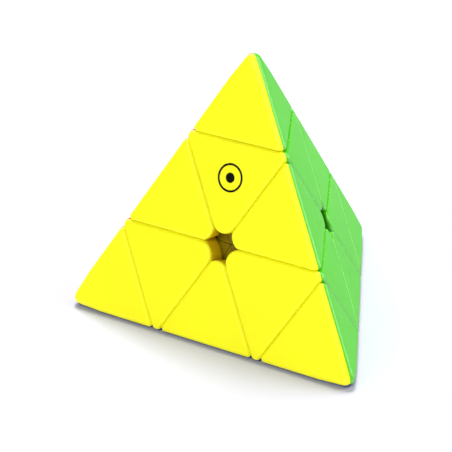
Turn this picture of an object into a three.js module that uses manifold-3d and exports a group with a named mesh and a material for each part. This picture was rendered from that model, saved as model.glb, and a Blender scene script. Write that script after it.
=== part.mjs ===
// Pyramid twisty puzzle: a regular tetrahedron cut into tips, centre pieces and edge pieces on a core.
// Millimetres, +Z up, origin in the centre of the core. The yellow face looks to -Y, the blue one is the base.
import * as THREE from "three";
import { ConvexGeometry } from "three/addons/geometries/ConvexGeometry.js";
import { mergeVertices } from "three/addons/utils/BufferGeometryUtils.js";
import Module from "manifold-3d";

const wasm = await Module();
wasm.setup();

// Outside
const EDGE_LENGTH = 102; // edge of the sharp tetrahedron, before its edges and corners are rounded
const FACE_DISTANCE = (EDGE_LENGTH * Math.sqrt(2 / 3)) / 4; // centre to each face
const TIP_CUT = (FACE_DISTANCE * 5) / 3; // centre to the plane between a tip and its centre piece
const LAYER_CUT = FACE_DISTANCE / 3; // centre to the plane under a layer; these planes cut a face in thirds
const GAP = 0.3; // between neighbouring pieces
const OUTER_ROUND = 1.8; // rounding along the edges of the tetrahedron
const CORNER_ROUND = 2.4; // rounding of its corners
const CORNER_BLEND = 0.1; // share of an edge over which its rounding widens to the corner's
const BORDER_ROUND = 0.9; // rounding along the grooves
const ROUND_STEPS = 3; // facets across a rounding

// Opening in the middle of each face, where six rounded corners meet
const EDGE_CORNER_R = 4.2;
const CENTRE_CORNER_R = 3.5;
const RIM_CHAMFER = 0.5;
const CORNER_STEPS = 3;

// Feet of the edge and centre pieces, which make up a hollow ball about the core
const FOOT_INNER_R = 11.3;
const FOOT_OUTER_R = 15;
const FOOT_ANGLE = 69.8; // degrees from a corner axis to the rim of the feet that turn about it
const FOOT_STEPS = 4;
const ROOM_R = 15.5; // room that a centre piece leaves for the feet of each other layer
const ROOM_ANGLE = 71.6;

// Core and the hubs that turn on it; heights are measured along a corner axis
const CORE_R = 7.6;
const ARM_R = 4;
const HUB_R = 6.6;
const HUB_BOTTOM = 9.8;
const ARM_END = HUB_BOTTOM - GAP;
const COLLAR_R = 8.6; // ring on the hub that holds the three blocks
const COLLAR_FROM = 18;
const COLLAR_TO = 20;
const WELL_R = 4.2; // room for the spring, the screw head and the tip's peg
const WELL_FLOOR = 13.5;
const SNAP_GROOVE_R = 4.95;
const SNAP_GROOVE_FROM = 30;
const SNAP_GROOVE_TO = 32;

// Tip with its split peg
const TIP_WALL = 2.6;
const PEG_R = 3.8;
const PEG_BORE_R = 2.4;
const PEG_END = 29.6;
const PEG_TOP = TIP_CUT + 2;
const SNAP_R = 4.6; // ring that catches in the groove of the well
const SNAP_LEAD = 1; // how far the ring tapers in towards the peg's end
const SNAP_FROM = 30.9;
const SNAP_TO = 31.3;
const SNAP_SHOULDER = 31.7;
const SLOT_WIDTH = 1;
const SLOT_END = 33.1;

// Screw, washer and spring
const SCREW_R = 1.5;
const SCREW_FROM = 3.6;
const SCREW_POINT_R = 0.9;
const SCREW_POINT_LENGTH = 0.9;
const SCREW_BORE_R = SCREW_R + GAP;
const HEAD_R = 3.6;
const HEAD_FROM = 23.9;
const HEAD_TO = 26.2;
const HEAD_RIM = 1.2; // straight part of the head's side
const HEAD_TOP_R = 2.6;
const CROSS_LENGTH = 4;
const CROSS_WIDTH = 0.8;
const CROSS_DEPTH = 1.2;
const WASHER_R = 3.8;
const WASHER_FROM = 23;
const WASHER_TO = HEAD_FROM - GAP;
const SPRING_COIL_R = 2.9;
const SPRING_WIRE_R = 0.38;
const SPRING_TURNS = 3.5;
const SPRING_STEPS = 28;

const ROUND = 18; // facets of a turned surface, a multiple of three
const FINE_ROUND = 36;
const SMALL_ROUND = 12;
const BEYOND = 1; // how far a cutting shape runs past the surface it cuts

const CORNERS = ["top", "left", "right", "back"];
const COLOUR_OPPOSITE = { back: "yellow", left: "green", right: "red", top: "blue" };
const PLASTIC = { yellow: 0xfbf928, green: 0x6fdc52, red: 0xd9261f, blue: 0x1560c8, dark: 0x2b2b2e };
const STEEL = 0xa9adb3;

// Unit vectors from the centre to the four corners
const AXIS = {
  top: new THREE.Vector3(0, 0, 1),
  left: new THREE.Vector3(-Math.sqrt(2 / 3), -Math.sqrt(2) / 3, -1 / 3),
  right: new THREE.Vector3(Math.sqrt(2 / 3), -Math.sqrt(2) / 3, -1 / 3),
  back: new THREE.Vector3(0, (2 * Math.sqrt(2)) / 3, -1 / 3),
};

// A half-space is [n, d], the points p with p.n <= d.
const inFace = (corner, inset = 0) => [AXIS[corner].clone().negate(), FACE_DISTANCE - inset];
const below = (corner, height) => [AXIS[corner], height];
const above = (corner, height) => [AXIS[corner].clone().negate(), -height];
// The side of the plane between two faces that belongs to the first one
const nearerTo = (face, other) => [AXIS[face].clone().sub(AXIS[other]).normalize(), -GAP / 2];

// Unit vectors spread between two or three directions
function between([a, b, c = b]) {
  const found = [];
  for (let i = 0; i <= ROUND_STEPS; i++)
    for (let j = 0; j <= (c === b ? 0 : ROUND_STEPS - i); j++) {
      const sum = a.clone().multiplyScalar(i).addScaledVector(b, ROUND_STEPS - i - j);
      found.push(sum.addScaledVector(c, j).normalize());
    }
  return found;
}

// The convex solid inside all the half-spaces, with its edges rounded
function convex(halfSpaces, radius = 0) {
  const points = [];
  const meet = (a, b, c) => {
    const normals = [a, b, c].map(([n]) => n);
    const rows = new THREE.Matrix3().set(...normals.flatMap((n) => n.toArray()));
    if (Math.abs(rows.determinant()) < 1e-6) return;
    const p = new THREE.Vector3(a[1] - radius, b[1] - radius, c[1] - radius).applyMatrix3(rows.invert());
    if (halfSpaces.some(([n, d]) => p.dot(n) > d - radius + 1e-6)) return;
    if (radius) between(normals).forEach((out) => points.push(p.clone().addScaledVector(out, radius)));
    else points.push(p);
  };
  halfSpaces.forEach((a, i) =>
    halfSpaces.slice(i + 1).forEach((b, j) => halfSpaces.slice(i + j + 2).forEach((c) => meet(a, b, c))),
  );
  return solid(new ConvexGeometry(points));
}

// A three.js geometry as a manifold solid
function solid(geometry) {
  const bare = geometry.index ? geometry.toNonIndexed() : geometry.clone();
  Object.keys(bare.attributes).forEach((name) => name !== "position" && bare.deleteAttribute(name));
  const merged = mergeVertices(bare, 1e-4);
  return new wasm.Manifold(
    new wasm.Mesh({
      numProp: 3,
      vertProperties: merged.attributes.position.array,
      triVerts: new Uint32Array(merged.index.array),
    }),
  );
}

// A manifold solid as a three.js geometry
function geometryOf(made) {
  const { vertProperties, triVerts } = made.getMesh();
  return new THREE.BufferGeometry()
    .setAttribute("position", new THREE.BufferAttribute(vertProperties, 3))
    .setIndex(new THREE.BufferAttribute(triVerts, 1));
}

// A solid turned about +Z from [radius, height] points, given from its lower end to its upper end
function turned(profile, facets = ROUND) {
  const points = profile.map(([r, z]) => new THREE.Vector2(r, z));
  return solid(new THREE.LatheGeometry(points, facets).rotateX(Math.PI / 2));
}

function rod(radius, from, to, facets = ROUND) {
  const profile = [
    [0, from],
    [radius, from],
    [radius, to],
    [0, to],
  ];
  return turned(profile, facets);
}

function ball(radius) {
  return solid(new THREE.SphereGeometry(radius, ROUND, ROUND / 2).rotateX(Math.PI / 2));
}

// Cap of a spherical shell about +Z, as wide as an angle in degrees; without an inner radius it is solid
function dome(innerR, outerR, angle, facets = ROUND) {
  const arc = (radius) =>
    [...Array(FOOT_STEPS + 1).keys()].map((k) => {
      const a = THREE.MathUtils.degToRad((angle * k) / FOOT_STEPS);
      return [radius * Math.sin(a), radius * Math.cos(a)];
    });
  const inside = innerR ? arc(innerR) : [[0, 0]];
  return turned([...inside, ...arc(outerR).reverse()], facets);
}

// The rotation of the tetrahedron that takes one ordered pair of corners to another
function rotation(fromPair, toPair) {
  const basis = ([a, b]) => {
    const z = AXIS[a];
    const x = AXIS[b].clone().addScaledVector(z, -z.dot(AXIS[b])).normalize();
    return new THREE.Matrix4().makeBasis(x, z.clone().cross(x), z);
  };
  return basis(toPair).multiply(basis(fromPair).transpose());
}

const moved = (made, matrix) => made.transform(matrix.toArray());
const along = (corner) => rotation(["top", "back"], [corner, CORNERS.find((c) => c !== corner)]);

// The whole tetrahedron with rounded edges and blunter corners
function roundedTetrahedron() {
  const points = [];
  const addRound = (middle, radius, normals) =>
    between(normals).forEach((out) => points.push(middle.clone().addScaledVector(out, radius)));
  const inset = (corner, radius) => AXIS[corner].clone().multiplyScalar(3 * (FACE_DISTANCE - radius));
  const outwards = (faces) => faces.map((face) => AXIS[face].clone().negate());
  for (const corner of CORNERS) {
    const others = CORNERS.filter((other) => other !== corner);
    addRound(inset(corner, CORNER_ROUND), CORNER_ROUND, outwards(others));
    for (const end of others) {
      const middle = inset(corner, OUTER_ROUND).lerp(inset(end, OUTER_ROUND), CORNER_BLEND);
      addRound(middle, OUTER_ROUND, outwards(others.filter((other) => other !== end)));
    }
  }
  return solid(new ConvexGeometry(points));
}
const outline = roundedTetrahedron();

// Opening of the yellow face: a six-pointed star between rounded corners, with a flared rim
function faceOpening() {
  const slope = Math.sqrt(8) / 3; // sine of the angle between a face and a layer plane
  const reach = (cut) => (cut - FACE_DISTANCE / 3) / slope / Math.sin(Math.PI / 6);
  const star = new THREE.Shape();
  for (let k = 0; k < 6; k++) {
    const towards = ((30 + 60 * k) * Math.PI) / 180;
    const ofEdge = k % 2 === 0;
    const r = ofEdge ? EDGE_CORNER_R : CENTRE_CORNER_R;
    const corner = ofEdge ? reach(LAYER_CUT + GAP / 2) : -reach(LAYER_CUT - GAP / 2);
    const x = (corner + 2 * r) * Math.cos(towards);
    const y = (corner + 2 * r) * Math.sin(towards);
    star.absarc(x, y, r, towards - (2 * Math.PI) / 3, towards + (2 * Math.PI) / 3, true);
  }
  const depth = FACE_DISTANCE - FOOT_OUTER_R - GAP / 2;
  const hole = new THREE.ExtrudeGeometry(star, {
    depth: depth + BEYOND,
    bevelEnabled: false,
    curveSegments: CORNER_STEPS,
  }).translate(0, 0, -depth);
  const rim = new THREE.ExtrudeGeometry(star, {
    depth: BEYOND,
    bevelThickness: RIM_CHAMFER,
    bevelSize: RIM_CHAMFER,
    bevelSegments: 1,
    curveSegments: CORNER_STEPS,
  });
  const z = AXIS.back.clone().negate();
  const y = AXIS.top.clone().addScaledVector(z, -z.dot(AXIS.top)).normalize();
  const place = new THREE.Matrix4().makeBasis(y.clone().cross(z), y, z);
  place.setPosition(z.clone().multiplyScalar(FACE_DISTANCE));
  return solid(hole.applyMatrix4(place)).add(solid(rim.applyMatrix4(place)));
}
const opening = faceOpening();

// Hub of a centre piece, standing on +Z; clearance makes it the space that the blocks leave for it
function hubBody(clearance = 0) {
  return turned([
    [0, HUB_BOTTOM - clearance],
    [HUB_R + clearance, HUB_BOTTOM - clearance],
    [HUB_R + clearance, COLLAR_FROM - clearance],
    [COLLAR_R + clearance, COLLAR_FROM - clearance],
    [COLLAR_R + clearance, COLLAR_TO + clearance],
    [HUB_R + clearance, COLLAR_TO + clearance],
    [HUB_R + clearance, TIP_CUT - GAP / 2 + clearance],
    [0, TIP_CUT - GAP / 2 + clearance],
  ]);
}

function centreHub() {
  const well = turned([
    [0, WELL_FLOOR],
    [WELL_R, WELL_FLOOR],
    [WELL_R, SNAP_GROOVE_FROM],
    [SNAP_GROOVE_R, SNAP_GROOVE_FROM],
    [SNAP_GROOVE_R, SNAP_GROOVE_TO],
    [WELL_R, SNAP_GROOVE_TO],
    [WELL_R, TIP_CUT],
    [0, TIP_CUT],
  ]);
  const bore = rod(SCREW_BORE_R, HUB_BOTTOM - BEYOND, WELL_FLOOR + BEYOND, SMALL_ROUND);
  return hubBody().subtract(well).subtract(bore);
}

// The part of the tetrahedron that lies nearest to the yellow face, down to a depth below it
function yellowThird(depth = FACE_DISTANCE) {
  const others = ["top", "left", "right"].map((other) => nearerTo("back", other));
  return convex([inFace("back", -BEYOND), below("back", depth - FACE_DISTANCE), ...others]);
}

// Yellow block of the top centre piece
function centreBlock() {
  const sides = ["left", "right", "back"];
  const rooms = sides.map((corner) => moved(dome(0, ROOM_R, ROOM_ANGLE, FINE_ROUND), along(corner)));
  const piece = convex(
    [
      ...sides.map((corner) => inFace(corner)),
      ...sides.map((corner) => below(corner, LAYER_CUT - GAP / 2)),
      above("top", LAYER_CUT + GAP / 2),
      below("top", TIP_CUT - GAP / 2),
    ],
    BORDER_ROUND,
  );
  const body = piece
    .intersect(outline)
    .subtract(ball(FOOT_INNER_R))
    .add(dome(FOOT_INNER_R, FOOT_OUTER_R, FOOT_ANGLE))
    .intersect(yellowThird())
    .subtract(opening)
    .subtract(hubBody(GAP));
  return rooms.reduce((rest, room) => rest.subtract(room), body);
}

function tipSolid(inset, radius) {
  const sides = ["left", "right", "back"].map((corner) => inFace(corner, inset));
  return convex([...sides, above("top", TIP_CUT + GAP / 2)], radius);
}

function tipHub() {
  const peg = turned([
    [0, PEG_END],
    [SNAP_R - SNAP_LEAD, PEG_END],
    [SNAP_R, SNAP_FROM],
    [SNAP_R, SNAP_TO],
    [PEG_R, SNAP_SHOULDER],
    [PEG_R, PEG_TOP],
    [0, PEG_TOP],
  ]);
  const bore = rod(PEG_BORE_R, PEG_END - BEYOND, PEG_TOP + BEYOND, SMALL_ROUND);
  const slotHeight = SLOT_END - PEG_END + BEYOND;
  const slots = [0, 1, 2].map((k) =>
    solid(
      new THREE.BoxGeometry(2 * SNAP_R, SLOT_WIDTH, slotHeight)
        .translate(SNAP_R, 0, SLOT_END - slotHeight / 2)
        .rotateZ((k * 2 * Math.PI) / 3),
    ),
  );
  const body = tipSolid(TIP_WALL + GAP, BORDER_ROUND).add(peg).subtract(bore);
  return slots.reduce((rest, slot) => rest.subtract(slot), body);
}

// Yellow shell of the top tip
const tipShell = () => tipSolid(0, BORDER_ROUND).intersect(outline).intersect(yellowThird(TIP_WALL));

// Yellow half of the edge piece between the top and left corners, with its half of the foot
function edgeHalf() {
  const wedge = convex(
    [
      inFace("back"),
      inFace("right"),
      above("top", LAYER_CUT + GAP / 2),
      above("left", LAYER_CUT + GAP / 2),
    ],
    BORDER_ROUND,
  );
  const cap = dome(FOOT_INNER_R, FOOT_OUTER_R, FOOT_ANGLE);
  const foot = cap.intersect(moved(cap, along("left")));
  return wedge.intersect(outline).add(foot).intersect(yellowThird()).subtract(opening);
}

function core() {
  const arm = rod(ARM_R, 0, ARM_END, SMALL_ROUND);
  const arms = CORNERS.reduce((body, corner) => body.add(moved(arm, along(corner))), ball(CORE_R));
  const drill = rod(SCREW_BORE_R, SCREW_FROM - GAP, ARM_END + BEYOND, SMALL_ROUND);
  return CORNERS.reduce((body, corner) => body.subtract(moved(drill, along(corner))), arms);
}

function screw() {
  const profile = [
    [0, SCREW_FROM],
    [SCREW_POINT_R, SCREW_FROM],
    [SCREW_R, SCREW_FROM + SCREW_POINT_LENGTH],
    [SCREW_R, HEAD_FROM],
    [HEAD_R, HEAD_FROM],
    [HEAD_R, HEAD_FROM + HEAD_RIM],
    [HEAD_TOP_R, HEAD_TO],
    [0, HEAD_TO],
  ];
  const slot = new THREE.BoxGeometry(CROSS_LENGTH, CROSS_WIDTH, 2 * CROSS_DEPTH).translate(0, 0, HEAD_TO);
  const crossSlot = slot.clone().rotateZ(Math.PI / 2);
  return turned(profile, SMALL_ROUND).subtract(solid(slot)).subtract(solid(crossSlot));
}

function washer() {
  const hole = rod(SCREW_BORE_R, WASHER_FROM - BEYOND, WASHER_TO + BEYOND, SMALL_ROUND);
  return rod(WASHER_R, WASHER_FROM, WASHER_TO).subtract(hole);
}

class Helix extends THREE.Curve {
  getPoint(t) {
    const from = WELL_FLOOR + GAP + SPRING_WIRE_R;
    const to = WASHER_FROM - GAP - SPRING_WIRE_R;
    const angle = 2 * Math.PI * SPRING_TURNS * t;
    return new THREE.Vector3(
      SPRING_COIL_R * Math.cos(angle),
      SPRING_COIL_R * Math.sin(angle),
      from + (to - from) * t,
    );
  }
}

function spring() {
  const wire = new THREE.Shape().absarc(0, 0, SPRING_WIRE_R, 0, 2 * Math.PI);
  return solid(
    new THREE.ExtrudeGeometry(wire, { steps: SPRING_STEPS, curveSegments: 3, extrudePath: new Helix() }),
  );
}

const puzzle = new THREE.Group();

function addPiece(name, made, matrix, color, metalness = 0, roughness = 0.4) {
  const material = new THREE.MeshStandardMaterial({ color, roughness, metalness });
  const mesh = new THREE.Mesh(geometryOf(made).applyMatrix4(matrix), material);
  mesh.name = name;
  puzzle.add(mesh);
}

addPiece("core", core(), new THREE.Matrix4(), PLASTIC.dark);

const parts = {
  screw: screw(),
  washer: washer(),
  spring: spring(),
  hub: centreHub(),
  block: centreBlock(),
  tipHub: tipHub(),
  shell: tipShell(),
  half: edgeHalf(),
};

for (const corner of CORNERS) {
  const place = along(corner);
  addPiece(`screw_${corner}`, parts.screw, place, STEEL, 0.9, 0.35);
  addPiece(`washer_${corner}`, parts.washer, place, STEEL, 0.9, 0.35);
  addPiece(`spring_${corner}`, parts.spring, place, STEEL, 0.9, 0.35);
  addPiece(`centre_hub_${corner}`, parts.hub, place, PLASTIC.dark);
  addPiece(`tip_hub_${corner}`, parts.tipHub, place, PLASTIC.dark);
  for (const face of CORNERS.filter((other) => other !== corner)) {
    const colour = COLOUR_OPPOSITE[face];
    const turn = rotation(["top", "back"], [corner, face]);
    addPiece(`centre_block_${corner}_${colour}`, parts.block, turn, PLASTIC[colour]);
    addPiece(`tip_shell_${corner}_${colour}`, parts.shell, turn, PLASTIC[colour]);
  }
}

// Each edge piece joins two faces, which are named by the corners they lie opposite.
CORNERS.forEach((first, i) =>
  CORNERS.slice(i + 1).forEach((second) => {
    const faces = CORNERS.filter((corner) => corner !== first && corner !== second);
    for (const [face, other] of [faces, [...faces].reverse()]) {
      const colour = COLOUR_OPPOSITE[face];
      const turn = rotation(["back", "right"], [face, other]);
      addPiece(`edge_${first}_${second}_${colour}`, parts.half, turn, PLASTIC[colour]);
    }
  }),
);

export default puzzle;
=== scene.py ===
"""Looks of the pyramid twisty puzzle: rounded coloured pieces, inner parts, printed mark, floor and light.

Lengths are millimetres in the row frame and become metres when a mesh is made.
"""

import itertools
import math

import bmesh
import bpy
import numpy as np
from mathutils import Matrix, Vector
from mathutils.kdtree import KDTree


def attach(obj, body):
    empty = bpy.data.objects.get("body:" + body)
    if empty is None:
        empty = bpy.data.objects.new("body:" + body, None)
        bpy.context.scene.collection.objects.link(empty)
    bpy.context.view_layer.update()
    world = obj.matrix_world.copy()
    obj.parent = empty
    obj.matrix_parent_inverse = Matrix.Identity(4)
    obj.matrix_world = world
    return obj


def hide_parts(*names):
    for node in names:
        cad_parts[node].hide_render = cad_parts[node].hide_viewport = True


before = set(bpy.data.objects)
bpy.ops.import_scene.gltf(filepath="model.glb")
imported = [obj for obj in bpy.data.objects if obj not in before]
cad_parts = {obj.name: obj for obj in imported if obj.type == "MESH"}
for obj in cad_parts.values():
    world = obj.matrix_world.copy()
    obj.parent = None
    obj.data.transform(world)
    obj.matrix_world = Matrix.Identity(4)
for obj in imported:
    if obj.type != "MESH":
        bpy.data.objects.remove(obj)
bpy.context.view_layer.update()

MM = 0.001

# The cut tetrahedron
EDGE_LENGTH = 102.0
FACE_DISTANCE = EDGE_LENGTH * math.sqrt(2 / 3) / 4
TIP_CUT = FACE_DISTANCE * 5 / 3
LAYER_CUT = FACE_DISTANCE / 3
GROOVE = 0.07  # between two pieces, below their rounded rims
OUTER_ROUND = 1.8  # radius along the six edges of the puzzle
CORNER_ROUND = 2.4  # radius at its four corners
CORNER_BLEND = 0.1  # share of an edge over which its rounding widens to the corner's
BORDER_ROUND = 0.9  # radius of the rims beside a groove
EDGE_CORNER_R = 4.2  # corners round the opening of a face, seen from outside
CENTRE_CORNER_R = 3.5
CORNER_ARC = 120.0  # degrees through which such a corner turns
CORNER_TILT = 19.47  # slope of a groove's wall, which the rounded corners take up at their ends
PARTING = 0.05  # between two colours of one piece
CURVE_STEP = 6.0  # degrees between the flats that make up a curve
FILLET_STEP = 10.0
TINY = 1e-6
POLISH = ((0.1, 0.35, 0.9, 0.995), (0, 1, 1, 0))  # polish against the cosine of the slope
SAME_POINT = 0.02  # points of a rounded surface closer than this are one
ON_SURFACE = 0.002  # a vertex this close to a point of the rounded surface takes its normal,
SAME_SIDE = 0.7  # where the cosine between that normal and the polygon's is larger than this

# Mechanism
FOOT_INNER_R = 11.3
FOOT_OUTER_R = 15.0
FOOT_ANGLE = 69.8  # degrees from the corner's axis to the rim of the feet
ROOM_R = 15.5  # room that a centre piece leaves for the feet of the other layers
ROOM_ANGLE = 70.4
HUB_R = 6.6
HUB_BOTTOM = 9.8
COLLAR_R = 8.6
COLLAR_FROM = 18.0
COLLAR_TO = 20.0
TIP_WALL = 2.6
CLEARANCE = 0.3

# Flats that make up a turned shape, around it and along its profile
FACETS = 96
DOME_STEPS = 24
SPHERE_STEPS = 45

AXIS = {
    "top": np.array([0, 0, 1.0]),
    "left": np.array([-math.sqrt(2 / 3), -math.sqrt(2) / 3, -1 / 3]),
    "right": np.array([math.sqrt(2 / 3), -math.sqrt(2) / 3, -1 / 3]),
    "back": np.array([0, 2 * math.sqrt(2) / 3, -1 / 3]),
}
CORNERS = list(AXIS)
COLOUR_OPPOSITE = {"back": "yellow", "left": "green", "right": "red", "top": "blue"}


def unit(v):
    return v / np.linalg.norm(v)


# ---------------------------------------------------------------- half-spaces (n, d): points p with p.n <= d


def in_face(corner):
    return (-AXIS[corner], FACE_DISTANCE)


def below(corner, height):
    return (AXIS[corner], height)


def above(corner, height):
    return (-AXIS[corner], -height)


def nearer_to(face, other):
    return (unit(AXIS[face] - AXIS[other]), -PARTING / 2)


def spread(normals, step):
    """Unit vectors spread over the arc or triangle between two or three directions, about a step apart."""
    widest = max(math.degrees(math.acos(np.clip(a @ b, -1, 1))) for a in normals for b in normals)
    k = max(1, math.ceil(widest / step))
    if len(normals) == 2:
        shares = [(i, k - i) for i in range(k + 1)]
    else:
        shares = [(i, j, k - i - j) for i in range(k + 1) for j in range(k + 1 - i)]
    return [unit(sum(s * n for s, n in zip(share, normals))) for share in shares]


def inset(corner, radius):
    """The centre of a ball of that radius that touches the three faces at a corner."""
    return AXIS[corner] * 3 * (FACE_DISTANCE - radius)


def outer_rounding(pair):
    """Flats of the rounded edge between two faces."""
    middle = inset(next(c for c in CORNERS if c not in pair), OUTER_ROUND)
    flats = spread([-AXIS[f] for f in pair], CURVE_STEP)[1:-1]
    return [(n, n @ middle + OUTER_ROUND) for n in flats]


def opening_corner(face, inwards, apex, radius, end_tilt, middle_tilt):
    """Flats of the rounded corner that a piece has beside the opening in the middle of a face.

    The sharp corner lies apex from the middle of the face, and inwards points from it into the piece.
    The tilts are how far the corner's wall looks outwards from the face, at its ends and in its middle.
    """
    w = -AXIS[face]
    side = np.cross(w, inwards)
    centre = w * FACE_DISTANCE + inwards * (apex + 2 * radius)
    flats = []
    steps = round(CORNER_ARC / CURVE_STEP)
    for i in range(1, steps):
        share = 2 * i / steps - 1
        angle = math.radians(CORNER_ARC / 2 * share)
        out = -math.cos(angle) * inwards + math.sin(angle) * side
        tilt = math.radians(middle_tilt + (end_tilt - middle_tilt) * share * share)
        n = math.cos(tilt) * out + math.sin(tilt) * w
        flats.append((n, n @ (centre + radius * out)))
    return flats


def in_plane(face, direction):
    """A direction turned into the plane of a face."""
    w = -AXIS[face]
    return unit(direction - (direction @ w) * w)


def apex_distance(cut):
    """How far the corner between two grooves lies from the middle of a face."""
    return (cut - FACE_DISTANCE / 3) / (math.sqrt(8) / 3) / math.sin(math.radians(30))


def rounded_points(half_spaces, radius):
    """The convex solid within the half-spaces with its edges rounded, as surface points and their normals."""
    n = np.array([h[0] for h in half_spaces])
    d = np.array([h[1] for h in half_spaces]) - radius
    triples = np.array(list(itertools.combinations(range(len(n)), 3)))
    rows = n[triples]
    meets = np.abs(np.linalg.det(rows)) > TINY
    triples, rows = triples[meets], rows[meets]
    p = np.linalg.solve(rows, d[triples][..., None])[..., 0]
    held = (p @ n.T <= d + TINY).all(axis=1)
    found = {}
    for corner, normals in zip(p[held], rows[held]):
        for out in list(normals) + spread(list(normals), FILLET_STEP):
            q = corner + radius * out
            found.setdefault(tuple(np.round(q / SAME_POINT).astype(int)), (q, out))
    return list(found.values())


def solid_from(surface):
    bm = bmesh.new()
    for q, _ in surface:
        bm.verts.new(q * MM)
    made = bmesh.ops.convex_hull(bm, input=bm.verts, use_existing_faces=False)
    unused = {v for v in made["geom_interior"] + made["geom_unused"] if isinstance(v, bmesh.types.BMVert)}
    bmesh.ops.delete(bm, geom=list(unused), context="VERTS")
    bmesh.ops.recalc_face_normals(bm, faces=bm.faces)
    return bm


def clip(bm, normal, distance):
    """Keeps the part of a closed mesh with p.n <= distance and closes the cut."""
    cut = bmesh.ops.bisect_plane(
        bm,
        geom=bm.verts[:] + bm.edges[:] + bm.faces[:],
        plane_co=Vector(normal) * distance * MM,
        plane_no=Vector(normal),
        clear_outer=True,
        dist=1e-8,
    )
    edges = [e for e in cut["geom_cut"] if isinstance(e, bmesh.types.BMEdge)]
    bmesh.ops.holes_fill(bm, edges=edges, sides=0)


def mesh_from(bm, name="shape"):
    bmesh.ops.recalc_face_normals(bm, faces=bm.faces)
    mesh = bpy.data.meshes.new(name)
    bm.to_mesh(mesh)
    bm.free()
    return mesh


def add_turned(bm, profile):
    """Adds a closed surface turned about +Z from (radius, height) points.

    The points start and end on the axis, or the last one repeats the first.
    """
    rings = []
    for r, z in profile:
        if rings and (r, z) == profile[0]:
            rings.append(rings[0])
            continue
        angles = [0.0] if r < TINY else [2 * math.pi * k / FACETS for k in range(FACETS)]
        rings.append([bm.verts.new((r * MM * math.cos(t), r * MM * math.sin(t), z * MM)) for t in angles])
    for a, b in zip(rings, rings[1:]):
        for k in range(FACETS):
            loop = [a[k % len(a)], a[(k + 1) % len(a)], b[(k + 1) % len(b)], b[k % len(b)]]
            bm.faces.new(list(dict.fromkeys(loop)))


def lathe(profile):
    """A closed mesh turned about +Z from points that start and end on the axis."""
    bm = bmesh.new()
    add_turned(bm, profile)
    return mesh_from(bm)


def boolean(mesh, other, operation):
    """One mesh with another added, taken away or kept in common; both are used up."""
    a, b = bpy.data.objects.new("a", mesh), bpy.data.objects.new("b", other)
    for o in (a, b):
        bpy.context.scene.collection.objects.link(o)
    modifier = a.modifiers.new("boolean", "BOOLEAN")
    modifier.operation, modifier.object, modifier.solver = operation, b, "EXACT"
    bpy.context.view_layer.update()
    result = bpy.data.meshes.new_from_object(a.evaluated_get(bpy.context.evaluated_depsgraph_get()))
    for o in (a, b):
        bpy.data.objects.remove(o)
    bpy.data.meshes.remove(mesh)
    bpy.data.meshes.remove(other)
    return result


def rotation(from_pair, to_pair):
    """The rotation of the tetrahedron that takes one ordered pair of corners to another."""

    def basis(pair):
        z = AXIS[pair[0]]
        x = unit(AXIS[pair[1]] - (AXIS[pair[1]] @ z) * z)
        return np.column_stack([x, np.cross(z, x), z])

    return Matrix((basis(to_pair) @ basis(from_pair).T).tolist()).to_4x4()


def along(corner):
    """The rotation that takes +Z to a corner's axis."""
    return rotation(("top", "back"), (corner, next(c for c in CORNERS if c != corner)))


def moved(mesh, matrix):
    mesh.transform(matrix)
    return mesh


def shade(mesh, surface):
    """Exact normals where the mesh follows the rounded surface, and flat ones elsewhere.

    The point attribute "polish" is 1 on the roundings and 0 on the face and in the grooves.
    """
    tree = KDTree(len(surface))
    for i, (q, _) in enumerate(surface):
        tree.insert(Vector(q * MM), i)
    tree.balance()
    split = []
    for polygon in mesh.polygons:
        for index in polygon.vertices:
            _, i, distance = tree.find(mesh.vertices[index].co)
            n = Vector(surface[i][1])
            follows = distance < ON_SURFACE * MM and n.dot(polygon.normal) > SAME_SIDE
            split.append(n if follows else polygon.normal.copy())
    mesh.polygons.foreach_set("use_smooth", [True] * len(mesh.polygons))
    mesh.normals_split_custom_set(split)
    polish = [0.0] * len(mesh.vertices)
    for vertex in mesh.vertices:
        _, i, distance = tree.find(vertex.co)
        if distance < ON_SURFACE * MM:
            facing = -surface[i][1] @ AXIS["back"]
            polish[vertex.index] = float(np.interp(facing, *POLISH))
    mesh.attributes.new("polish", "FLOAT", "POINT").data.foreach_set("value", polish)


# ---------------------------------------------------------------- the three coloured shapes

THREE = ("left", "right", "back")
TWO_OF_THREE = list(itertools.combinations(THREE, 2))


def third(bm, face="back"):
    """Keeps the part of a solid that lies nearest to one face."""
    for other in CORNERS:
        if other != face:
            clip(bm, *nearer_to(face, other))


def tip_shell():
    spaces = [above("top", TIP_CUT + GROOVE / 2)] + [in_face(f) for f in THREE]
    for pair in TWO_OF_THREE:
        spaces += outer_rounding(pair)
    surface = [(q, n) for q, n in rounded_points(spaces, BORDER_ROUND) if q[2] < TIP_CUT + 2 * BORDER_ROUND]
    blunt = inset("top", CORNER_ROUND)
    surface += [(blunt + CORNER_ROUND * n, n) for n in spread([-AXIS[f] for f in THREE], CURVE_STEP)]
    for pair in TWO_OF_THREE:
        end = next(f for f in THREE if f not in pair)
        middle = inset("top", OUTER_ROUND) * (1 - CORNER_BLEND) + inset(end, OUTER_ROUND) * CORNER_BLEND
        surface += [(middle + OUTER_ROUND * n, n) for n in spread([-AXIS[f] for f in pair], CURVE_STEP)]
    bm = solid_from(surface)
    third(bm)
    clip(bm, AXIS["back"], TIP_WALL - FACE_DISTANCE)
    mesh = mesh_from(bm, "tip_shell")
    shade(mesh, surface)
    return mesh


def hub_profile(clearance=0.0):
    c = clearance
    return [
        (0, HUB_BOTTOM - c),
        (HUB_R + c, HUB_BOTTOM - c),
        (HUB_R + c, COLLAR_FROM - c),
        (COLLAR_R + c, COLLAR_FROM - c),
        (COLLAR_R + c, COLLAR_TO + c),
        (HUB_R + c, COLLAR_TO + c),
        (HUB_R + c, TIP_CUT - GROOVE / 2 + c),
        (0, TIP_CUT - GROOVE / 2 + c),
    ]


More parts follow.
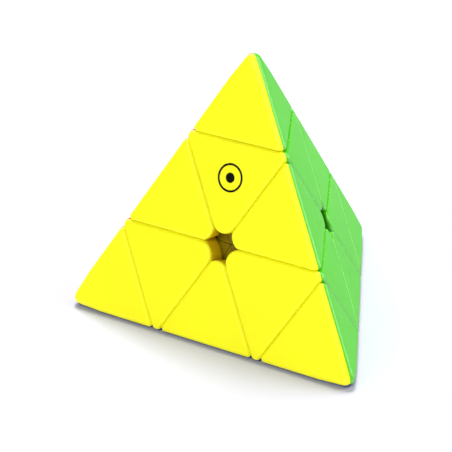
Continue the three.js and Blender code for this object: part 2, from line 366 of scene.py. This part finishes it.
def dome_profile(inner, outer, angle):
    """Profile of a cap of a spherical shell about +Z, solid where it has no inner radius."""
    turns = [math.radians(angle) * k / DOME_STEPS for k in range(DOME_STEPS + 1)]
    profile = [(inner * math.sin(a), inner * math.cos(a)) for a in turns] if inner else [(0, 0)]
    return profile + [(outer * math.sin(a), outer * math.cos(a)) for a in reversed(turns)]


def sphere_profile(radius):
    turns = [math.pi * k / SPHERE_STEPS for k in range(SPHERE_STEPS + 1)]
    return [(radius * math.sin(a), -radius * math.cos(a)) for a in turns]


def centre_block():
    spaces = [above("top", LAYER_CUT + GROOVE / 2), below("top", TIP_CUT - GROOVE / 2)]
    for corner in THREE:
        spaces += [in_face(corner), below(corner, LAYER_CUT - GROOVE / 2)]
        inwards = in_plane(corner, AXIS["top"])
        apex = -apex_distance(LAYER_CUT - GROOVE / 2)
        spaces += opening_corner(corner, inwards, apex, CENTRE_CORNER_R, CORNER_TILT, 0)
    for pair in TWO_OF_THREE:
        spaces += outer_rounding(pair)
    surface = rounded_points(spaces, BORDER_ROUND)
    foot = lathe(dome_profile(0, FOOT_OUTER_R, FOOT_ANGLE))
    mesh = boolean(mesh_from(solid_from(surface)), foot, "UNION")
    mesh = boolean(mesh, lathe(sphere_profile(FOOT_INNER_R)), "DIFFERENCE")
    for corner in THREE:
        room = moved(lathe(dome_profile(0, ROOM_R, ROOM_ANGLE)), along(corner))
        mesh = boolean(mesh, room, "DIFFERENCE")
    mesh = boolean(mesh, lathe(hub_profile(CLEARANCE)), "DIFFERENCE")
    bm = bmesh.new()
    bm.from_mesh(mesh)
    third(bm)
    mesh = mesh_from(bm, "centre_block")
    shade(mesh, surface)
    return mesh


def edge_half():
    spaces = [in_face("back"), in_face("right")]
    spaces += [above("top", LAYER_CUT + GROOVE / 2), above("left", LAYER_CUT + GROOVE / 2)]
    spaces += outer_rounding(("back", "right"))
    for face in ("back", "right"):
        inwards = in_plane(face, AXIS["top"] + AXIS["left"])
        apex = apex_distance(LAYER_CUT + GROOVE / 2)
        spaces += opening_corner(face, inwards, apex, EDGE_CORNER_R, 0, 0)
    surface = rounded_points(spaces, BORDER_ROUND)
    wedge = mesh_from(solid_from(surface))

    cap = dome_profile(FOOT_INNER_R, FOOT_OUTER_R, FOOT_ANGLE)
    foot = boolean(lathe(cap), moved(lathe(cap), along("left")), "INTERSECT")
    mesh = boolean(wedge, foot, "UNION")
    bm = bmesh.new()
    bm.from_mesh(mesh)
    third(bm)
    mesh = mesh_from(bm, "edge_half")
    shade(mesh, surface)
    return mesh


# ---------------------------------------------------------------- materials


def linear(code):
    """Linear colour from a hex code as a screen shows it."""
    parts = [int(code[i : i + 2], 16) / 255 for i in (0, 2, 4)]
    return tuple(c / 12.92 if c <= 0.04045 else ((c + 0.055) / 1.055) ** 2.4 for c in parts)


# Noise in the materials, in waves per metre
DRIFT_SCALE = 55
BATCH_SCALE = 120
GLOSS_SCALE = 380
GRAIN_SCALE = 5200
STEEL_TONE_SCALE = 300
STEEL_GLOSS_SCALE = 2500
STEEL_GRAIN_SCALE = 4000
INK_TONE_SCALE = 1600
INK_GLOSS_SCALE = 900
PAPER_SCALE = 12

# Depth of the grain, in metres
PLASTIC_GRAIN = 0.000005
HARD_PLASTIC_GRAIN = 0.00001
STEEL_GRAIN = 0.000008

FACE_SKIN = 0.4  # millimetres below the middle of a face from which painted shade darkens the openings
PAINTED_SHADE_STOPS = ((0.2, 0.8), (0.92, 1.0))  # painted shade: height in an opening, and the share of its middle tone left there


def new_material(name):
    material = bpy.data.materials.new(name)
    material.use_nodes = True
    return material, material.node_tree, material.node_tree.nodes["Principled BSDF"]


def node(tree, kind, values=(), **settings):
    made = tree.nodes.new(kind)
    for key, value in settings.items():
        setattr(made, key, value)
    for key, value in dict(values).items():
        made.inputs[key].default_value = value
    return made


def noise(tree, coordinates, scale, detail=2.0, roughness=0.5):
    made = node(tree, "ShaderNodeTexNoise", {"Scale": scale, "Detail": detail, "Roughness": roughness})
    tree.links.new(coordinates, made.inputs["Vector"])
    return made.outputs["Fac"]


def remap(tree, value, low, high, to_low, to_high):
    ends = {"From Min": low, "From Max": high, "To Min": to_low, "To Max": to_high}
    made = node(tree, "ShaderNodeMapRange", ends)
    tree.links.new(value, made.inputs["Value"])
    return made.outputs["Result"]


def blotchy(tree, coordinates, scale, detail, first, second):
    """A colour that wanders between two colours."""
    mix = node(tree, "ShaderNodeMix", data_type="RGBA")
    mix.inputs["A"].default_value = (*first, 1)
    mix.inputs["B"].default_value = (*second, 1)
    tree.links.new(noise(tree, coordinates, scale, *detail), mix.inputs["Factor"])
    return mix.outputs["Result"]


def grain(tree, coordinates, shader, scale, detail, strength, depth):
    """A fine bump all over."""
    bump = node(tree, "ShaderNodeBump", {"Strength": strength, "Distance": depth})
    tree.links.new(noise(tree, coordinates, scale, detail), bump.inputs["Height"])
    tree.links.new(bump.outputs["Normal"], shader.inputs["Normal"])


def plastic(name, code, roughness=(0.44, 0.28), specular=(0.15, 0.6), middle=(0.5,) * 3, bottom_shade=(0.1,) * 3):
    """Moulded plastic with satin faces and polished roundings, with painted shade that darkens it towards the
    core.

    Roughness and specular are given for the faces and for the roundings; middle and bottom_shade are the
    share of the colour that the painted shade leaves half-way down an opening and at its bottom.
    """
    material, tree, shader = new_material(name + "_plastic")
    colour = linear(code)
    coordinates = node(tree, "ShaderNodeTexCoord").outputs["Object"]
    polish = node(tree, "ShaderNodeAttribute", attribute_name="polish").outputs["Fac"]

    drift = remap(tree, noise(tree, coordinates, DRIFT_SCALE, 3), 0.3, 0.7, 0, 1)
    pigment = node(tree, "ShaderNodeMix", data_type="RGBA")
    pigment.inputs["A"].default_value = (*(c * 0.97 for c in colour), 1)
    pigment.inputs["B"].default_value = (*(min(1, c * 1.02) for c in colour), 1)
    tree.links.new(drift, pigment.inputs["Factor"])

    # Painted shade: the colour darkens with depth in the openings, down to bottom_shade near the core.
    radius = node(tree, "ShaderNodeVectorMath", operation="LENGTH")
    tree.links.new(coordinates, radius.inputs[0])
    height = remap(tree, radius.outputs["Value"], FOOT_OUTER_R * MM, (FACE_DISTANCE - FACE_SKIN) * MM, 0, 1)
    ramp = node(tree, "ShaderNodeValToRGB")
    stops = ramp.color_ramp.elements
    stops[0].color, stops[1].color = (*bottom_shade, 1), (1, 1, 1, 1)
    for place, share in PAINTED_SHADE_STOPS:
        stops.new(place).color = (*(c * share for c in middle), 1)
    tree.links.new(height, ramp.inputs["Fac"])
    with_painted_shade = node(tree, "ShaderNodeMix", {"Factor": 1.0}, data_type="RGBA", blend_type="MULTIPLY")
    tree.links.new(pigment.outputs["Result"], with_painted_shade.inputs["A"])
    tree.links.new(ramp.outputs["Color"], with_painted_shade.inputs["B"])
    tree.links.new(with_painted_shade.outputs["Result"], shader.inputs["Base Color"])

    gloss = remap(tree, noise(tree, coordinates, GLOSS_SCALE, 4, 0.6), 0.25, 0.75, -0.04, 0.04)
    total = node(tree, "ShaderNodeMath", operation="ADD")
    tree.links.new(remap(tree, polish, 0, 1, *roughness), total.inputs[0])
    tree.links.new(gloss, total.inputs[1])
    tree.links.new(total.outputs["Value"], shader.inputs["Roughness"])
    shader.inputs["Specular IOR Level"].default_value = specular[0]
    tree.links.new(remap(tree, polish, 0, 1, *specular), shader.inputs["Specular IOR Level"])
    grain(tree, coordinates, shader, GRAIN_SCALE, 2, 0.5, PLASTIC_GRAIN)
    return material


def hard_plastic(name, colour):
    """Plain moulded plastic of the inner parts."""
    material, tree, shader = new_material(name)
    coordinates = node(tree, "ShaderNodeTexCoord").outputs["Object"]
    darker, lighter = [c * 0.85 for c in colour], [c * 1.15 for c in colour]
    tone = blotchy(tree, coordinates, BATCH_SCALE, (3,), darker, lighter)
    tree.links.new(tone, shader.inputs["Base Color"])
    gloss = remap(tree, noise(tree, coordinates, GLOSS_SCALE, 4, 0.6), 0.25, 0.75, 0.45, 0.56)
    tree.links.new(gloss, shader.inputs["Roughness"])
    grain(tree, coordinates, shader, GRAIN_SCALE, 2, 0.5, HARD_PLASTIC_GRAIN)
    return material


def steel(name):
    """Drawn and turned steel, uneven in tone and gloss."""
    material, tree, shader = new_material(name)
    coordinates = node(tree, "ShaderNodeTexCoord").outputs["Object"]
    shader.inputs["Metallic"].default_value = 1.0
    tone = blotchy(tree, coordinates, STEEL_TONE_SCALE, (3,), (0.42, 0.43, 0.45), (0.62, 0.63, 0.65))
    tree.links.new(tone, shader.inputs["Base Color"])
    gloss = remap(tree, noise(tree, coordinates, STEEL_GLOSS_SCALE, 4, 0.7), 0.3, 0.7, 0.22, 0.42)
    tree.links.new(gloss, shader.inputs["Roughness"])
    grain(tree, coordinates, shader, STEEL_GRAIN_SCALE, 3, 0.4, STEEL_GRAIN)
    return material


def ink(name):
    """Pad-printed ink, a little uneven in tone and gloss."""
    material, tree, shader = new_material(name)
    coordinates = node(tree, "ShaderNodeTexCoord").outputs["Object"]
    tone = blotchy(tree, coordinates, INK_TONE_SCALE, (4, 0.65), (0.002, 0.002, 0.002), (0.008, 0.008, 0.006))
    tree.links.new(tone, shader.inputs["Base Color"])
    gloss = remap(tree, noise(tree, coordinates, INK_GLOSS_SCALE, 3), 0.3, 0.7, 0.5, 0.7)
    tree.links.new(gloss, shader.inputs["Roughness"])
    shader.inputs["Specular IOR Level"].default_value = 0.05
    return material


# The last two triples of the yellow, and the defaults of the other colours, are the painted shade in the
# openings.
PLASTIC = {
    "yellow": plastic("yellow", "fffb1c", (0.44, 0.36), (0.15, 0.35), (0.95, 0.70, 0.6), (0.22, 0.165, 0.1)),
    "green": plastic("green", "53cc12", (0.44, 0.26), (0.15, 1.0)),
    "red": plastic("red", "d01f1c"),
    "blue": plastic("blue", "0a3a85", (0.44, 0.40), (0.15, 0.15)),
}
DARK = hard_plastic("dark_plastic", linear("26262a"))
STEEL = steel("steel_parts")
INK = ink("printed_ink")


# ---------------------------------------------------------------- pieces


def add_piece(name, mesh, material, body):
    piece = bpy.data.objects.new(name, mesh)
    bpy.context.scene.collection.objects.link(piece)
    mesh.materials.clear()
    mesh.materials.append(material)
    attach(piece, body)
    return piece


def add_coloured(shape, matrix, cad_node, colour, body):
    mesh = shape.copy()
    mesh.transform(matrix)
    piece = add_piece("look_" + cad_node, mesh, PLASTIC[colour], body)
    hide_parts(cad_node)


shapes = {"tip": tip_shell(), "block": centre_block(), "half": edge_half()}

for corner in CORNERS:
    for face in CORNERS:
        if face == corner:
            continue
        colour = COLOUR_OPPOSITE[face]
        turn = rotation(("top", "back"), (corner, face))
        add_coloured(shapes["block"], turn, f"centre_block_{corner}_{colour}", colour, f"centre_{corner}")
        add_coloured(shapes["tip"], turn, f"tip_shell_{corner}_{colour}", colour, f"tip_{corner}")

for first, second in itertools.combinations(CORNERS, 2):
    faces = [c for c in CORNERS if c not in (first, second)]
    body = f"edge_{first}_{second}"
    for face, other in (faces, faces[::-1]):
        colour = COLOUR_OPPOSITE[face]
        turn = rotation(("back", "right"), (face, other))
        add_coloured(shapes["half"], turn, f"{body}_{colour}", colour, body)

KEPT = {"core": DARK, "centre_hub": DARK, "tip_hub": DARK, "screw": STEEL, "washer": STEEL, "spring": STEEL}

for cad_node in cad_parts:
    for start, material in KEPT.items():
        if cad_node.startswith(start):
            for material_slot in bpy.data.objects[cad_node].material_slots:
                material_slot.material = material


# ---------------------------------------------------------------- printed mark: a plain ring round a dot

MARK_HEIGHT = 19.5  # from the middle of the yellow face
MARK_R = 4.1
MARK_LINE = 0.62
DOT_R = 1.45
INK_THICKNESS = 0.02
INK_BEVEL = 0.02


def printed_mark():
    bm = bmesh.new()
    b, t = INK_BEVEL, INK_THICKNESS
    hole = MARK_R - MARK_LINE
    add_turned(bm, [(MARK_R, 0), (MARK_R - b, t), (hole + b, t), (hole, 0), (MARK_R, 0)])
    add_turned(bm, [(0, 0), (DOT_R, 0), (DOT_R - b, t), (0, t)])
    w = -AXIS["back"]
    up = in_plane("back", AXIS["top"])
    matrix = Matrix(np.column_stack([np.cross(up, w), up, w]).tolist()).to_4x4()
    matrix.translation = Vector((w * FACE_DISTANCE + up * MARK_HEIGHT) * MM)
    bm.transform(matrix)
    return mesh_from(bm, "printed_mark")


add_piece("printed_mark", printed_mark(), INK, "centre_top")


# ---------------------------------------------------------------- floor, light, camera

FLOOR_HALF = 3.0  # metres
FLOOR_GAP = 0.02
FLOOR_TONES = (0.565, 0.567, 0.632), (0.585, 0.587, 0.652)


def add_floor():
    bm = bmesh.new()
    z = -(FACE_DISTANCE + FLOOR_GAP) * MM
    corners = [(-1, -1), (1, -1), (1, 1), (-1, 1)]
    bm.faces.new([bm.verts.new((x * FLOOR_HALF, y * FLOOR_HALF, z)) for x, y in corners])
    mesh = mesh_from(bm, "floor")
    floor = bpy.data.objects.new("floor", mesh)
    bpy.context.scene.collection.objects.link(floor)
    material, tree, shader = new_material("floor_paper")
    coordinates = node(tree, "ShaderNodeTexCoord").outputs["Object"]
    tone = blotchy(tree, coordinates, PAPER_SCALE, (3,), *FLOOR_TONES)
    tree.links.new(tone, shader.inputs["Base Color"])
    shader.inputs["Roughness"].default_value = 0.9
    shader.inputs["Specular IOR Level"].default_value = 0.1
    mesh.materials.append(material)


def towards(azimuth, elevation):
    """Unit vector towards a light or the camera; azimuth 0 is -Y and 90 is +X."""
    a, e = math.radians(azimuth), math.radians(elevation)
    return Vector((math.sin(a) * math.cos(e), -math.cos(a) * math.cos(e), math.sin(e)))


def facing_from(direction, place):
    """Matrix of an object at a place that looks against a direction."""
    return Matrix.Translation(place) @ direction.to_track_quat("Z", "Y").to_matrix().to_4x4()


def add_area(name, azimuth, elevation, distance, size, power):
    data = bpy.data.lights.new(name, "AREA")
    data.shape, data.size, data.energy = "DISK", size, power
    lamp = bpy.data.objects.new(name, data)
    direction = towards(azimuth, elevation)
    lamp.matrix_world = facing_from(direction, direction * distance)
    bpy.context.scene.collection.objects.link(lamp)


WORLD_STRENGTH = 0.05


def add_lights():
    """A weak even light, and disc lights: azimuth, elevation, distance and size in metres, power in watts."""
    world = bpy.data.worlds.new("studio")
    world.use_nodes = True
    background = world.node_tree.nodes["Background"]
    background.inputs["Color"].default_value = (1, 1, 1, 1)
    background.inputs["Strength"].default_value = WORLD_STRENGTH
    bpy.context.scene.world = world
    add_area("key_light", 210, 63, 1.2, 0.42, 13.2)
    add_area("left_back_light", 235, 52, 1.3, 0.8, 8.0)
    add_area("right_back_light", 120, 50, 1.3, 0.8, 6.6)
    add_area("front_light", 24, 8, 1.5, 0.4, 4.6)
    add_area("high_light", 25, 48, 1.3, 0.6, 4.2)
    add_area("left_front_light", 350, 25, 1.3, 0.8, 5.2)
    add_area("right_light", 121, 22, 1.2, 0.6, 1.0)
    add_area("low_light", 140, 13, 1.2, 0.5, 2.1)


CAMERA_AZIMUTH = 35.48
CAMERA_ELEVATION = 26.26
CAMERA_ROLL = -2.17
CAMERA_DISTANCE = 598.6
CAMERA_AIM = (-8.75, -3.71, 4.21)
LENS = 166.32
SENSOR_WIDTH = 36.0
CLIP_START = 0.01  # metres


def add_camera():
    data = bpy.data.cameras.new("camera")
    data.lens, data.sensor_width, data.clip_start = LENS, SENSOR_WIDTH, CLIP_START
    camera = bpy.data.objects.new("camera", data)
    bpy.context.scene.collection.objects.link(camera)
    direction = towards(CAMERA_AZIMUTH, CAMERA_ELEVATION)
    roll = Matrix.Rotation(math.radians(CAMERA_ROLL), 4, "Z")
    place = (Vector(CAMERA_AIM) + direction * CAMERA_DISTANCE) * MM
    camera.matrix_world = facing_from(direction, place) @ roll
    bpy.context.scene.camera = camera


add_floor()
add_lights()
add_camera()
bpy.context.scene.view_settings.view_transform = "Standard"
